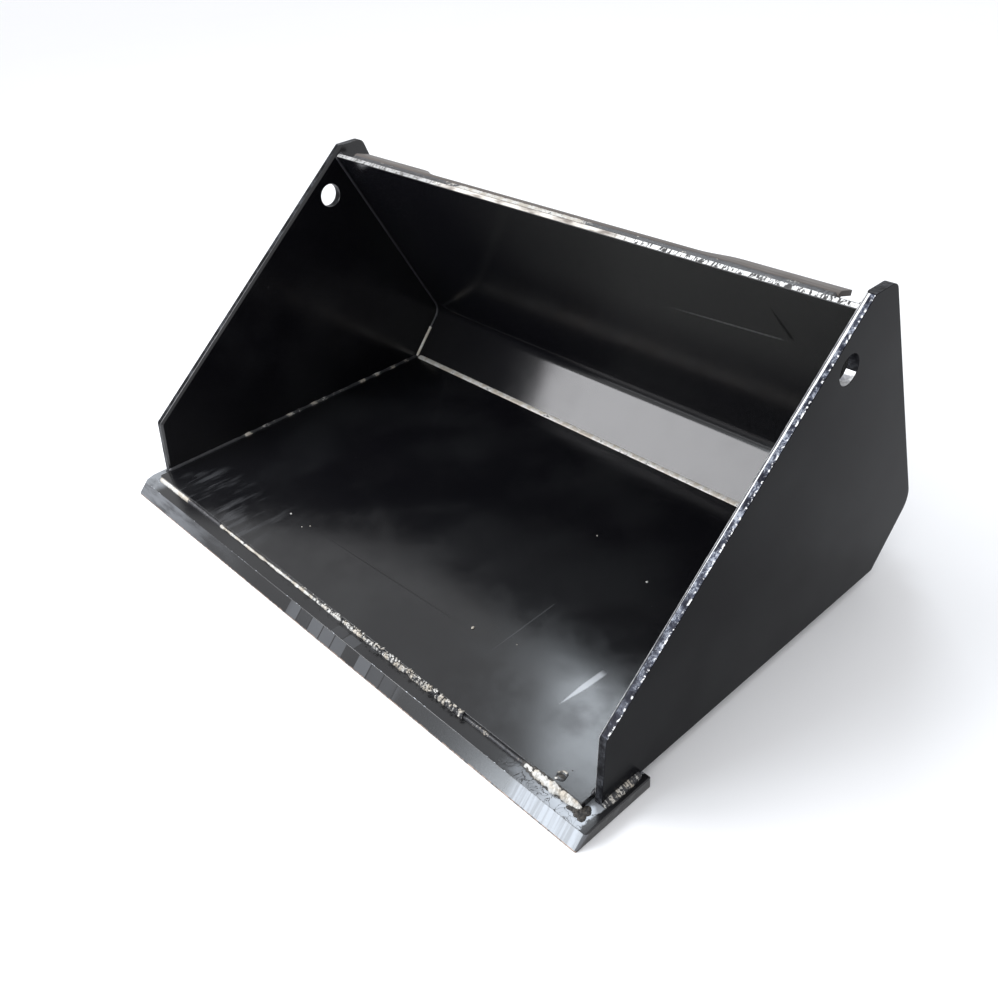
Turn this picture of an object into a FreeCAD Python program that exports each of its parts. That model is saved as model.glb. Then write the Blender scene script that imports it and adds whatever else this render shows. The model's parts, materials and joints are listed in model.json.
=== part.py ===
import FreeCAD, Part
import math
import os

# A 48 inch low-profile skid steer bucket, all welded from plate.
# X runs across the bucket, Y from the cutting edge to the back, Z up from the ground.
# Everything is first laid out with Y = 0 at the foot of the side plates' front edges,
# and moved at the end so that the origin lies under the middle of the bucket.

# ---- Driving dimensions, in millimetres and degrees ----

# Bowl
inside_width = 1156        # clear width between the side plates
floor_depth = 645          # side plate's foot to the floor-heel seam, along the floor
heel_length = 122.5        # floor-heel seam to the back's fold line
heel_angle = 48            # heel strip's rise from the floor
back_length = 460          # fold line to the top of the back
back_lean = 28             # back's forward lean from upright
fold_radius = 30           # inside radius of the heel-back fold
floor_thick = 10
back_thick = 10

# Side plates
side_thick = 16
front_height = 103         # of the side plate's front edge above the floor
front_rake = 11            # by which that edge leans back at its top
front_round = 8
rim_land = 7               # side plate's slanted rim above the back sheet's top corner
rim_chamfer = 4            # on the slanted rim's inner arris
ear_rise = 19              # ear's flat top above the back sheet's top corner
ear_reach = 68.5           # ear's rear corner behind the back sheet's top corner
ear_round = 16
lift_hole_radius = 22.5
lift_hole_forward = 27     # hole's centre ahead of the back sheet's top corner
lift_hole_drop = 71        # and below it

# Cutting edge
edge_thick = 20
edge_overhang = 16         # beyond each side plate's outer face
edge_front_flat = 27       # floor's front edge to the top of the bevel
edge_bevel = 18            # bevel's depth and height
edge_lap = 80              # cutting edge's rear edge behind the side plates' feet
floor_lip = 20             # floor's front edge ahead of the side plates' feet
edge_corner_round = 6

# Wear bars under the floor
bar_width = 70
bar_front_gap = 14         # behind the cutting edge
bar_rear_gap = 14          # ahead of the floor-heel seam
bar_inner_place = 190      # centre of the inner bars, off the middle
bar_side_inset = 80        # centre of the outer bars inside the side plate's inner face

# Quick attach on the back
plate_thick = 8
plate_side_gap = 38        # between the attach plate's end and the side plate
plate_foot_gap = 4         # above the end of the heel-back fold
hook_angle = 45            # between the hook lip and the attach plate
hook_rise = 9              # lip's sharp outer corner above the back sheet's rear top corner
hook_reach = 50            # sharp outer corner to the lip's free edge
hook_fold_radius = 2
hook_tab_length = 172      # of each full-depth tab of the lip
hook_sweep_length = 72     # of each curved run-out beside the tabs
flange_rise = 4.7          # pin flange's underside above the attach plate's foot
flange_thick = 12
flange_depth = 68
flange_corner = 10         # cut off each rear corner of the flange
slot_end_gap = 28          # between a pin slot's end and the flange's end
slot_width = 32
slot_length = 70
slot_offset = 40           # slot's centre behind the attach plate
pad_thick = 8              # doubler pad under each slot
pad_margin = 6             # of the pad around the slot
rib_thick = 12
rib_slot_gap = 14          # between a slot's inner end and the rib beside it
rib_end_inset = 2          # outer ribs' faces inside the flange's ends
rib_middle_place = 150     # middle ribs' centres, off the middle
rib_rear_inset = 10        # ribs' rear corner ahead of the flange's rear edge
rib_heel_share = 0.45      # part of the heel strip that the ribs reach down

# Weld beads: leg lengths
seam_leg = 8               # seams inside the bowl
edge_leg = 9               # floor and side plates to the cutting edge
attach_leg = 6             # quick attach and wear bars
pad_leg = 5                # rear edge of the slot pads
hook_weld_root = 35        # degrees round the hook's fold at which the rim's fill begins
hook_weld_toe = 100        # and ends

# ---- Points and directions in the side view, as vectors with X = 0 ----


def spot(y, z):
    return FreeCAD.Vector(0, y, z)


def heading(degrees):
    """Unit vector in the side view, turned up from +Y."""
    turn = math.radians(degrees)
    return spot(math.cos(turn), math.sin(turn))


def right_of(direction):
    """The direction a quarter turn clockwise: out of the bowl, for the sheet's lines."""
    return spot(direction.z, -direction.y)


def meet(point_one, direction_one, point_two, direction_two):
    """Where two lines of the side view cross."""
    across = direction_one.y * direction_two.z - direction_one.z * direction_two.y
    gap = point_two - point_one
    along = (gap.y * direction_two.z - gap.z * direction_two.y) / across
    return point_one + direction_one * along


def at_height(point, direction, z):
    """Where a line of the side view reaches height z."""
    return point + direction * ((z - point.z) / direction.z)


side_inner = inside_width / 2
side_outer = side_inner + side_thick
floor_top = edge_thick + floor_thick
plate_end = side_inner - plate_side_gap

floor_way = heading(0)
heel_way = heading(heel_angle)
back_way = heading(90 + back_lean)
heel_out = right_of(heel_way)
back_out = right_of(back_way)

seam_corner = spot(floor_depth, floor_top)
fold_corner = seam_corner + heel_way * heel_length
rim_corner = fold_corner + back_way * back_length
fold_tangent = fold_radius * math.tan(math.radians((90 + back_lean - heel_angle) / 2))

heel_outer = seam_corner + heel_out * back_thick
back_outer = rim_corner + back_out * back_thick
outer_seam_corner = meet(spot(0, edge_thick), floor_way, heel_outer, heel_way)
outer_fold_corner = meet(heel_outer, heel_way, back_outer, back_way)

hook_way = heading(90 + back_lean - 180 + hook_angle)
hook_out = right_of(hook_way) * -1
attach_face = back_outer + back_out * plate_thick
hook_corner = back_outer + back_way * hook_rise
hook_end = hook_corner + hook_way * hook_reach
pocket_corner = meet(attach_face, back_way, hook_end - hook_out * plate_thick, hook_way)
plate_foot = fold_corner + back_way * (fold_tangent + plate_foot_gap) + back_out * back_thick

flange_under = plate_foot.z + flange_rise
flange_top = flange_under + flange_thick
flange_root = at_height(attach_face, back_way, flange_top)
flange_root_under = at_height(attach_face, back_way, flange_under)
flange_rear = flange_root.y + flange_depth
slot_x = plate_end - slot_end_gap - slot_length / 2
slot_y = flange_root.y + slot_offset

edge_front = -floor_lip - edge_front_flat - edge_bevel

# ---- Building blocks ----


def rounded_wire(corners):
    """Closed wire through corners given as (point, radius), each radius as a tangent arc."""
    edges = []
    starts = []
    ends = []
    arcs = []
    count = len(corners)
    for index, (point, radius) in enumerate(corners):
        to_last = (corners[index - 1][0] - point).normalize()
        to_next = (corners[(index + 1) % count][0] - point).normalize()
        half = to_last.getAngle(to_next) / 2
        setback = radius / math.tan(half)
        starts.append(point + to_last * setback)
        ends.append(point + to_next * setback)
        if radius:
            bisector = (to_last + to_next).normalize()
            crown = point + bisector * (radius / math.sin(half) - radius)
            arcs.append(Part.Arc(starts[-1], crown, ends[-1]).toShape())
        else:
            arcs.append(None)
    for index in range(count):
        if arcs[index]:
            edges.append(arcs[index])
        edges.append(Part.makeLine(ends[index], starts[(index + 1) % count]))
    return Part.Wire(edges)


def across(corners, x_from, x_to):
    """Solid with the given side-view outline, reaching from x_from to x_to."""
    face = Part.Face(rounded_wire(corners))
    face.translate(FreeCAD.Vector(x_from, 0, 0))
    return face.extrude(FreeCAD.Vector(x_to - x_from, 0, 0))


def plain(*points):
    """Corners without rounding."""
    return [(point, 0) for point in points]


def box(x_from, x_to, y_from, y_to, z_from, z_to):
    size = (x_to - x_from, y_to - y_from, z_to - z_from)
    return Part.makeBox(*size, FreeCAD.Vector(x_from, y_from, z_from))


def triangle(corner, toe_one, toe_two):
    return Part.makePolygon([corner, toe_one, toe_two, corner])


def bead(start, end, leg_one, leg_two):
    """Straight fillet weld along a corner from start to end, with its two legs as vectors."""
    section = Part.Face(triangle(start, start + leg_one, start + leg_two))
    return section.extrude(end - start)


def shifted(point, x):
    return FreeCAD.Vector(x, point.y, point.z)


def slot_hole(x, z_from, z_to):
    """Cutter for one pin slot: a stadium, long along X."""
    radius = slot_width / 2
    half = slot_length / 2 - radius
    depth = z_to - z_from
    middle = box(x - half, x + half, slot_y - radius, slot_y + radius, z_from, z_to)
    ends = [Part.makeCylinder(radius, depth, FreeCAD.Vector(x + side * half, slot_y, z_from))
            for side in (-1, 1)]
    return middle.fuse(ends).removeSplitter()


# ---- Plates of the bowl ----


def cutting_edge():
    half = side_outer + edge_overhang
    nose = edge_thick - edge_bevel
    bar = across(plain(
        spot(edge_front, 0),
        spot(edge_front, nose),
        spot(edge_front + edge_bevel, edge_thick),
        spot(edge_lap, edge_thick),
        spot(edge_lap, 0)), -half, half)
    corners = [edge for edge in bar.Edges
               if abs(edge.CenterOfMass.y - edge_lap) < 1 and edge.BoundBox.ZLength > nose]
    return bar.makeFillet(edge_corner_round, corners)


def floor_plate():
    return across(plain(
        spot(-floor_lip, edge_thick),
        spot(-floor_lip, floor_top),
        seam_corner,
        outer_seam_corner), -side_inner, side_inner)


def back_sheet():
    """Heel strip and back in one folded sheet."""
    return across([
        (seam_corner, 0),
        (fold_corner, fold_radius),
        (rim_corner, 0),
        (back_outer, 0),
        (outer_fold_corner, fold_radius + back_thick),
        (outer_seam_corner, 0)], -side_inner, side_inner)


def side_outline():
    """Side plate's outline; its heel and foot lie flush with the outside of the sheets."""
    front_top = spot(front_rake, floor_top + front_height)
    slant_way = (rim_corner + spot(0, rim_land) - front_top).normalize()
    ear_top = rim_corner.z + ear_rise
    return [
        (spot(0, edge_thick), 0),
        (front_top, front_round),
        (at_height(front_top, slant_way, ear_top), 0),
        (spot(rim_corner.y + ear_reach, ear_top), ear_round),
        (outer_fold_corner, fold_radius + back_thick),
        (outer_seam_corner, 0)]


def side_plate(side):
    """Side = -1 for the left plate, 1 for the right."""
    inner = side * side_inner
    outer = side * side_outer
    plate = across(side_outline(), min(inner, outer), max(inner, outer))
    slant = [edge for edge in plate.Edges
             if abs(edge.CenterOfMass.x - inner) < 0.1 and abs(edge.BoundBox.XLength) < 0.1
             and edge.BoundBox.YLength > floor_depth / 2 and edge.BoundBox.ZLength > front_height]
    plate = plate.makeChamfer(rim_chamfer, slant)
    centre = rim_corner - spot(lift_hole_forward, lift_hole_drop)
    hole = Part.makeCylinder(lift_hole_radius, side_thick,
                             shifted(centre, min(inner, outer)), FreeCAD.Vector(1, 0, 0))
    return plate.cut(hole)


def wear_bar(middle):
    return box(middle - bar_width / 2, middle + bar_width / 2,
               edge_lap + bar_front_gap, outer_seam_corner.y - bar_rear_gap, 0, edge_thick)


# ---- Quick attach ----


def hook_relief():
    """Cutter that takes the lip away between the two tabs, with a curved run-out at each.

    Drawn flat on the lip: a across the bucket, b along the lip from the fold's crest.
    """
    crest = (hook_fold_radius + plate_thick) * math.tan(math.radians((180 - hook_angle) / 2))
    tab_start = plate_end - hook_tab_length
    sweep_start = tab_start - hook_sweep_length
    deep = hook_reach
    past = 2 * hook_reach
    above = plate_thick
    below = 1.25 * plate_thick

    def on_lip(a, b):
        return shifted(hook_corner + hook_way * b + hook_out * above, a)

    def sweep(side):
        poles = [on_lip(side * a, b) for a, b in (
            (sweep_start, crest),
            (sweep_start + hook_sweep_length / 2, crest),
            (tab_start - hook_sweep_length / 2, deep),
            (tab_start, deep))]
        curve = Part.BezierCurve()
        curve.setPoles(poles)
        return curve.toShape()

    edges = [
        Part.makeLine(on_lip(-sweep_start, crest), on_lip(sweep_start, crest)),
        sweep(1),
        Part.makeLine(on_lip(tab_start, deep), on_lip(tab_start, past)),
        Part.makeLine(on_lip(tab_start, past), on_lip(-tab_start, past)),
        Part.makeLine(on_lip(-tab_start, past), on_lip(-tab_start, deep)),
        sweep(-1)]
    return Part.Face(Part.Wire(edges)).extrude(hook_out * -(above + below))


def attach_plate():
    """Face plate with the hook lip folded back and down over its top."""
    folded = across([
        (plate_foot, 0),
        (hook_corner, hook_fold_radius + plate_thick),
        (hook_end, 0),
        (hook_end - hook_out * plate_thick, 0),
        (pocket_corner, hook_fold_radius),
        (plate_foot + back_out * plate_thick, 0)], -plate_end, plate_end)
    return folded.cut(hook_relief())


def pin_flange():
    flange = across(plain(
        flange_root,
        flange_root_under,
        spot(flange_rear, flange_under),
        spot(flange_rear, flange_top)), -plate_end, plate_end)
    corners = [edge for edge in flange.Edges
               if abs(edge.CenterOfMass.y - flange_rear) < 0.1 and edge.BoundBox.XLength < 0.1]
    flange = flange.makeChamfer(flange_corner, corners)
    for side in (-1, 1):
        flange = flange.cut(slot_hole(side * slot_x, flange_under, flange_top))
    return flange


def slot_pad(side):
    """Doubler under one pin slot, with the slot through it."""
    x = side * slot_x
    across_half = slot_length / 2 + pad_margin
    deep_half = slot_width / 2 + pad_margin
    low = flange_under - pad_thick
    pad = box(x - across_half, x + across_half, slot_y - deep_half, slot_y + deep_half,
              low, flange_under)
    return pad.cut(slot_hole(x, low, flange_under))


def rib_places():
    """Centres of the six ribs, from left to right."""
    beside_slot = slot_x - slot_length / 2 - rib_slot_gap - rib_thick / 2
    half = [rib_middle_place, beside_slot, plate_end - rib_end_inset - rib_thick / 2]
    return [-x for x in reversed(half)] + half


def flange_rib(x):
    """Gusset between the pin flange's underside and the back of the bowl."""
    low = heel_outer + heel_way * (heel_length * (1 - rib_heel_share))
    blank = across(plain(
        flange_root_under - back_out * (plate_thick + back_thick / 2),
        spot(flange_rear - rib_rear_inset, flange_under),
        low,
        low - heel_out * (back_thick / 2),
        fold_corner + (outer_fold_corner - fold_corner) * 0.5), x - rib_thick / 2, x + rib_thick / 2)
    rest = blank.cut(back_sheet()).cut(attach_plate())
    return max(rest.Solids, key=lambda solid: solid.Volume)


# ---- Weld beads, each touching its plates without entering them ----

X_WAY = FreeCAD.Vector(1, 0, 0)
UP = spot(0, 1)
BACK = spot(1, 0)


def edge_front_weld():
    """Floor's front edge to the top of the cutting edge."""
    corner = spot(-floor_lip, edge_thick)
    return bead(shifted(corner, -side_inner), shifted(corner, side_inner),
                BACK * -edge_leg, UP * floor_thick)


def edge_rear_weld():
    """Cutting edge's rear edge to the underside of the floor."""
    corner = spot(edge_lap, edge_thick)
    half = side_inner - edge_leg
    return bead(shifted(corner, -half), shifted(corner, half), BACK * edge_leg, UP * -edge_leg)


def edge_side_weld(side):
    """Side plate's foot to the top of the cutting edge, on the outside."""
    corner = spot(0, edge_thick)
    start = shifted(corner, side * side_outer)
    return bead(start, start + BACK * (edge_lap - edge_corner_round),
                X_WAY * (side * edge_leg), UP * edge_leg)


def floor_side_weld(side):
    """Inside seam of the floor and a side plate, mitred to the heel's seam."""
    mitre = seam_corner + (UP - heel_out).normalize() * (
        seam_leg / math.cos(math.radians(heel_angle / 2)))
    x = side * side_inner
    inward = X_WAY * (-side * seam_leg)
    front = shifted(spot(0, floor_top), x)
    rear = shifted(seam_corner, x)
    return Part.makeLoft([
        triangle(front, front + inward, front + UP * seam_leg),
        triangle(rear, rear + inward, shifted(mitre, x))], True, True)


def back_side_weld(side):
    """Inside seam of the back sheet and a side plate: up the heel, round the fold, up the back."""
    mitre = seam_corner + (UP - heel_out).normalize() * (
        seam_leg / math.cos(math.radians(heel_angle / 2)))
    x = side * side_inner
    inward = X_WAY * (-side * seam_leg)
    low = shifted(seam_corner, x)
    heel_end = shifted(fold_corner - heel_way * fold_tangent, x)
    back_start = shifted(fold_corner + back_way * fold_tangent, x)
    section = triangle(heel_end, heel_end + inward, heel_end - heel_out * seam_leg)
    heel = Part.makeLoft([triangle(low, low + inward, shifted(mitre, x)), section], True, True)
    fold = Part.Face(section).revolve(
        heel_end - heel_out * fold_radius, X_WAY, 90 + back_lean - heel_angle)
    back = bead(back_start, shifted(rim_corner, x), inward, back_out * -seam_leg)
    return heel.fuse([fold, back]).removeSplitter()


def floor_heel_weld():
    """Inside seam across the bowl between the floor and the heel strip."""
    half = side_inner - seam_leg
    return bead(shifted(seam_corner, -half), shifted(seam_corner, half),
                BACK * -seam_leg, heel_way * seam_leg)


def back_ear_weld(side):
    """Outside seam of the back sheet and a side plate, where the ear stands clear of the sheet."""
    ear_way = (spot(rim_corner.y + ear_reach, rim_corner.z + ear_rise) - outer_fold_corner).normalize()
    land = attach_leg + 1
    start = meet(outer_fold_corner, ear_way, back_outer + back_out * land, back_way) - back_out * land
    x = side * side_inner
    return bead(shifted(start, x), shifted(back_outer, x),
                X_WAY * (-side * attach_leg), back_out * attach_leg)


def hook_weld():
    """Fill between the back sheet's rim and the outside of the hook's fold."""
    radius = hook_fold_radius + plate_thick
    foot = hook_corner - back_way * (radius / math.tan(math.radians(hook_angle / 2)))
    centre = foot + back_out * radius

    def on_fold(degrees):
        turn = math.radians(degrees)
        return centre + back_way * (radius * math.sin(turn)) - back_out * (radius * math.cos(turn))

    root = on_fold(hook_weld_root)
    toe = on_fold(hook_weld_toe)
    wall = foot + back_way * (radius * math.sin(math.radians(hook_weld_root)))
    edges = [
        Part.makeLine(wall, back_outer),
        Part.makeLine(back_outer, toe),
        Part.Arc(toe, on_fold((hook_weld_root + hook_weld_toe) / 2), root).toShape(),
        Part.makeLine(root, wall)]
    face = Part.Face(Part.Wire(edges))
    face.translate(X_WAY * -plate_end)
    return face.extrude(X_WAY * (2 * plate_end))


def attach_end_weld(side):
    """Attach plate's end to the back sheet."""
    x = side * plate_end
    setback = (hook_fold_radius + plate_thick) / math.tan(math.radians(hook_angle / 2))
    top = hook_corner - back_way * setback
    return bead(shifted(plate_foot, x), shifted(top, x),
                X_WAY * (side * attach_leg), back_out * attach_leg)


def attach_foot_weld():
    """Attach plate's lower edge to the back sheet, in the bays between the ribs."""
    return bays([-plate_end] + rib_places() + [plate_end], lambda start, end: bead(
        shifted(plate_foot, start), shifted(plate_foot, end),
        back_way * -attach_leg, back_out * attach_leg))


def flange_top_weld():
    return bead(shifted(flange_root, -plate_end), shifted(flange_root, plate_end),
                back_way * attach_leg, BACK * attach_leg)


def flange_under_weld():
    """Pin flange's underside to the attach plate, in the bays between the ribs."""
    return bays([-plate_end] + rib_places() + [plate_end], lambda start, end: bead(
        shifted(flange_root_under, start), shifted(flange_root_under, end),
        back_way * -attach_leg, BACK * attach_leg))


def bays(places, make):
    """One bead in each bay between ribs, clear of the ribs' faces."""
    beads = []
    for start, end in zip(places, places[1:]):
        left = start if start == places[0] else start + rib_thick / 2
        right = end if end == places[-1] else end - rib_thick / 2
        beads.append(make(left, right))
    return Part.makeCompound(beads)


def pad_weld():
    """Rear edge of both slot pads to the underside of the pin flange."""
    half = slot_length / 2 + pad_margin
    corner = spot(slot_y + slot_width / 2 + pad_margin, flange_under)
    beads = []
    for side in (-1, 1):
        x = side * slot_x
        beads.append(bead(shifted(corner, x - half), shifted(corner, x + half),
                          BACK * pad_leg, UP * -pad_leg))
    return Part.makeCompound(beads)


def rib_weld():
    """Beads between each rib and the underside of the pin flange, on both faces of the rib."""
    start = spot(flange_root_under.y + 2 * attach_leg, flange_under)
    end = spot(flange_rear - rib_rear_inset, flange_under)
    beads = []
    for x in rib_places():
        for side in (-1, 1):
            face = x + side * rib_thick / 2
            beads.append(bead(shifted(start, face), shifted(end, face),
                              X_WAY * (side * attach_leg), UP * -attach_leg))
    return Part.makeCompound(beads)


def wear_bar_weld():
    """Beads between each wear bar's long sides and the underside of the floor."""
    start = spot(edge_lap + bar_front_gap, edge_thick)
    end = spot(outer_seam_corner.y - bar_rear_gap, edge_thick)
    beads = []
    for middle in bar_places():
        for side in (-1, 1):
            face = middle + side * bar_width / 2
            beads.append(bead(shifted(start, face), shifted(end, face),
                              X_WAY * (side * attach_leg), UP * -attach_leg))
    return Part.makeCompound(beads)


def bar_places():
    """Centres of the four wear bars, from left to right."""
    outer = side_inner - bar_side_inset
    return [-outer, -bar_inner_place, bar_inner_place, outer]


# ---- The bucket ----


def bucket():
    parts = {
        "cutting_edge": cutting_edge(),
        "floor_plate": floor_plate(),
        "back_sheet": back_sheet(),
        "quick_attach_plate": attach_plate(),
        "pin_flange": pin_flange(),
        "weld_edge_front": edge_front_weld(),
        "weld_edge_rear": edge_rear_weld(),
        "weld_floor_heel": floor_heel_weld(),
        "weld_hook_rim": hook_weld(),
        "weld_attach_foot": attach_foot_weld(),
        "weld_flange_top": flange_top_weld(),
        "weld_flange_under": flange_under_weld(),
        "weld_slot_pads": pad_weld(),
        "weld_flange_ribs": rib_weld(),
        "weld_wear_bars": wear_bar_weld()}
    for side, hand in ((-1, "left"), (1, "right")):
        parts[f"side_plate_{hand}"] = side_plate(side)
        parts[f"slot_pad_{hand}"] = slot_pad(side)
        parts[f"weld_edge_side_{hand}"] = edge_side_weld(side)
        parts[f"weld_floor_side_{hand}"] = floor_side_weld(side)
        parts[f"weld_back_side_{hand}"] = back_side_weld(side)
        parts[f"weld_back_ear_{hand}"] = back_ear_weld(side)
        parts[f"weld_attach_end_{hand}"] = attach_end_weld(side)
    for number, x in enumerate(rib_places(), 1):
        parts[f"flange_rib_{number}"] = flange_rib(x)
    for number, x in enumerate(bar_places(), 1):
        parts[f"wear_bar_{number}"] = wear_bar(x)
    return parts


os.makedirs("parts", exist_ok=True)
centring = BACK * (-(edge_front + flange_rear) / 2)
for name, shape in bucket().items():
    shape.translated(centring).exportStep(f"parts/{name}.step")
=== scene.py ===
import json
import math
import random

import bmesh
import bpy
from mathutils import Matrix, Vector, noise


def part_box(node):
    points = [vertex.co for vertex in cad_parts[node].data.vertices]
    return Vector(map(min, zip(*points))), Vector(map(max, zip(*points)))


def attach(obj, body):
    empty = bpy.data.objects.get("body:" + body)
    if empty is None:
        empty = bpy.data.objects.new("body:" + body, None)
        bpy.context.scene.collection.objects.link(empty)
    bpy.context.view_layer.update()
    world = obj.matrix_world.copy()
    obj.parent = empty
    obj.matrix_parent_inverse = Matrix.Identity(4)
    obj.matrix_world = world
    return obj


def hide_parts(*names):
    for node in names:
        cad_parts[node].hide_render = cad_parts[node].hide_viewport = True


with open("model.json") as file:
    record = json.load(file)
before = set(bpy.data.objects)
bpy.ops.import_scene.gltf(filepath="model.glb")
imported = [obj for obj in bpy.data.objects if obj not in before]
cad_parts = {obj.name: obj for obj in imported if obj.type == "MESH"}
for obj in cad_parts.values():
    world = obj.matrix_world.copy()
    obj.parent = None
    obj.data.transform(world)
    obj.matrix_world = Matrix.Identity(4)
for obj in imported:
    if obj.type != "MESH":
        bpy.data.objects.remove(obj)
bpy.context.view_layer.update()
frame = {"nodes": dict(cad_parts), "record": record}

# ---- Camera ----
# It stands above the right front corner, looks down into the bowl and is rolled a little.

VIEW_AZIMUTH = 49.95
VIEW_ELEVATION = 35.04
VIEW_ROLL = -4.99
VIEW_DISTANCE = 1.732
VIEW_LENS = 36.48
AIM = Vector((0.0889, -0.0671, 0.1124))


def compass(azimuth, elevation):
    """Unit vector from the bucket towards an azimuth and elevation; azimuth 0 is in front."""
    a, e = math.radians(azimuth), math.radians(elevation)
    return Vector((math.sin(a) * math.cos(e), -math.cos(a) * math.cos(e), math.sin(e)))


def link(name, data):
    thing = bpy.data.objects.new(name, data)
    bpy.context.scene.collection.objects.link(thing)
    return thing


out = compass(VIEW_AZIMUTH, VIEW_ELEVATION)
camera = link("camera", bpy.data.cameras.new("camera"))
camera.data.lens = VIEW_LENS
camera.location = AIM + out * VIEW_DISTANCE
camera.rotation_mode = "QUATERNION"
roll = Matrix.Rotation(math.radians(VIEW_ROLL), 3, "Z").to_quaternion()
camera.rotation_quaternion = (-out).to_track_quat("-Z", "Y") @ roll
bpy.context.scene.camera = camera

# ---- Studio ----
# A pale floor in a white room with three soft boxes: two in front, which the heel and the
# cutting edge's bevel mirror, and one high behind on the left, which lights the floor plate.

ROOM_WHITE = 1.05
ROOM_TINT = (0.97, 0.98, 1.0, 1)
FLOOR_REACH = 9.0        # from the bucket to the floor's edges
bpy.context.scene.view_settings.view_transform = "Standard"
world = bpy.data.worlds.new("studio")
bpy.context.scene.world = world
world.use_nodes = True
backdrop = world.node_tree.nodes["Background"]
backdrop.inputs["Color"].default_value = ROOM_TINT
backdrop.inputs["Strength"].default_value = ROOM_WHITE


def soft_box(name, azimuth, elevation, width, height, radiance, tint, distance=3.0):
    """A rectangular lamp that faces the bucket; radiance is how bright its face looks."""
    lamp = bpy.data.lights.new(name, "AREA")
    lamp.shape = "RECTANGLE"
    lamp.size = width
    lamp.size_y = height
    lamp.color = tint
    lamp.energy = radiance * math.pi * width * height
    box = link(name, lamp)
    way = compass(azimuth, elevation)
    box.location = way * distance
    box.rotation_mode = "QUATERNION"
    box.rotation_quaternion = (-way).to_track_quat("-Z", "Y")


soft_box("soft_box_front", -43, 40, width=1.5, height=1.3, radiance=9.0, tint=(0.97, 0.97, 1.0))
soft_box("soft_box_low", -13, 23, width=0.85, height=0.7, radiance=16.0, tint=(0.86, 0.93, 1.0))
soft_box("soft_box_back", -149, 56, width=0.84, height=0.62, radiance=9.5, tint=(0.84, 0.92, 1.0))


def put(tree, kind, inputs=None, **settings):
    """Add a shader node; an input's value is a plain value or another node's output."""
    made = tree.nodes.new(kind)
    for key, value in settings.items():
        setattr(made, key, value)
    for key, value in (inputs or {}).items():
        if isinstance(value, bpy.types.NodeSocket):
            tree.links.new(value, made.inputs[key])
        else:
            made.inputs[key].default_value = value
    return made


def grain(tree, place, scale, detail=2.0, roughness=0.5, distortion=0.0):
    """Noise from 0 to 1; the scale is in grains to a metre."""
    return put(tree, "ShaderNodeTexNoise",
               {"Vector": place, "Scale": scale, "Detail": detail, "Roughness": roughness,
                "Distortion": distortion}).outputs["Fac"]


def blend(tree, share, under, over):
    """Mix two colours by a mask."""
    return put(tree, "ShaderNodeMix", {0: share, 6: under, 7: over}, data_type="RGBA").outputs[2]


def material(name):
    """A new material with its tree, its Principled shader and the piece's own coordinates."""
    made = bpy.data.materials.new(name)
    made.use_nodes = True
    tree = made.node_tree
    shader = tree.nodes["Principled BSDF"]
    place = tree.nodes.new("ShaderNodeTexCoord").outputs["Object"]
    return made, tree, shader, place


def join(tree, source, shader, socket):
    tree.links.new(source, shader.inputs[socket])


pale, tree, shader, place = material("pale_floor")
cloud = grain(tree, place, 1.4, detail=3.0)
join(tree, blend(tree, cloud, (0.93, 0.93, 0.94, 1), (0.95, 0.95, 0.96, 1)), shader, "Base Color")
shader.inputs["Roughness"].default_value = 0.75
mesh = bpy.data.meshes.new("floor")
mesh.from_pydata([(x * FLOOR_REACH, y * FLOOR_REACH, 0) for x, y in ((-1, -1), (1, -1), (1, 1), (-1, 1))],
                 [], [(0, 1, 2, 3)])
floor = link("floor", mesh)
mesh.materials.append(pale)

# ---- Cutting edge ----
# A rolled bar of hard steel, bevelled along its front and torch-cut at its ends, painted with
# the bucket. The paint is scuffed at the left end, crazed at the right, and patchy between.

EDGE_BREAK = 0.0012      # how far the plates' sharp edges are broken


def maths(tree, operation, first, second=0.0, clamp=False):
    """One step of arithmetic."""
    return put(tree, "ShaderNodeMath", {0: first, 1: second}, operation=operation,
               use_clamp=clamp).outputs[0]


def chain(tree, operation, values):
    """Work through some values with one operation."""
    result = values[0]
    for value in values[1:]:
        result = maths(tree, operation, result, value)
    return result


def product(tree, *values):
    return chain(tree, "MULTIPLY", values)


def total(tree, *values):
    return chain(tree, "ADD", values)


def most(tree, *values):
    """The largest of some masks."""
    return chain(tree, "MAXIMUM", values)


def ramp(tree, value, low, high, to_low=0.0, to_high=1.0):
    """Smooth step of a value between low and high."""
    made = put(tree, "ShaderNodeMapRange",
               {"Value": value, "From Min": low, "From Max": high, "To Min": to_low, "To Max": to_high},
               interpolation_type="SMOOTHSTEP")
    return made.outputs["Result"]


def group(name, inputs, outputs):
    """A shader node group with named inputs, a vector where no default is given, and outputs."""
    made = bpy.data.node_groups.new(name, "ShaderNodeTree")
    for key, value in inputs.items():
        kind = "NodeSocketVector" if value is None else "NodeSocketFloat"
        socket = made.interface.new_socket(key, in_out="INPUT", socket_type=kind)
        if value is not None:
            socket.default_value = value
    for key in outputs:
        made.interface.new_socket(key, in_out="OUTPUT", socket_type="NodeSocketFloat")
    enter = made.nodes.new("NodeGroupInput")
    leave = made.nodes.new("NodeGroupOutput")
    return made, enter.outputs, leave.inputs


def use(tree, made, **inputs):
    """Place a group in a material, with its own values."""
    return put(tree, "ShaderNodeGroup", inputs, node_tree=made).outputs


PEEL_RISE = 0.00002      # height of the paint's orange peel
WAVE_RISE = 0.008        # and of the slow waves in rolled plate, at full share
CHIP_DEPTH = 0.00012     # from the paint's surface down to the steel

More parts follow.
